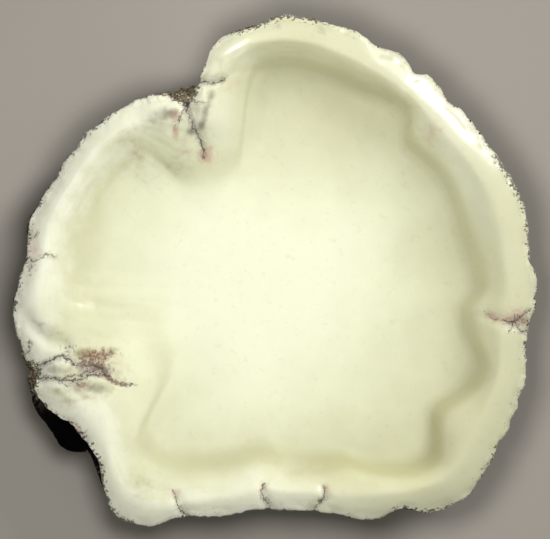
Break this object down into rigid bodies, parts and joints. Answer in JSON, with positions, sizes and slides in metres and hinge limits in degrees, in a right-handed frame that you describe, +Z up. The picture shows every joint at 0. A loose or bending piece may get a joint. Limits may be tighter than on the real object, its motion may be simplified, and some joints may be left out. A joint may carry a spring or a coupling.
{
  "type": "datolite dish",
  "caption": "Free-form shallow dish carved and polished from a pale datolite nodule, with its dark natural skin left on the outside.",
  "frame": {"origin": "centre of the bounding box at the ground, under the flat foot", "axes": "+Z up out of the open side; seen from above with +X to the right and +Y up the page, the deep notch in the rim is at the upper left"},
  "size_m": [0.1048, 0.1028, 0.0182],
  "materials": {
    "datolite": "polished inside, natural rough skin outside"
  },
  "bodies": {
    "root": {"datolite_dish": "datolite"}
  },
  "joints": []
}
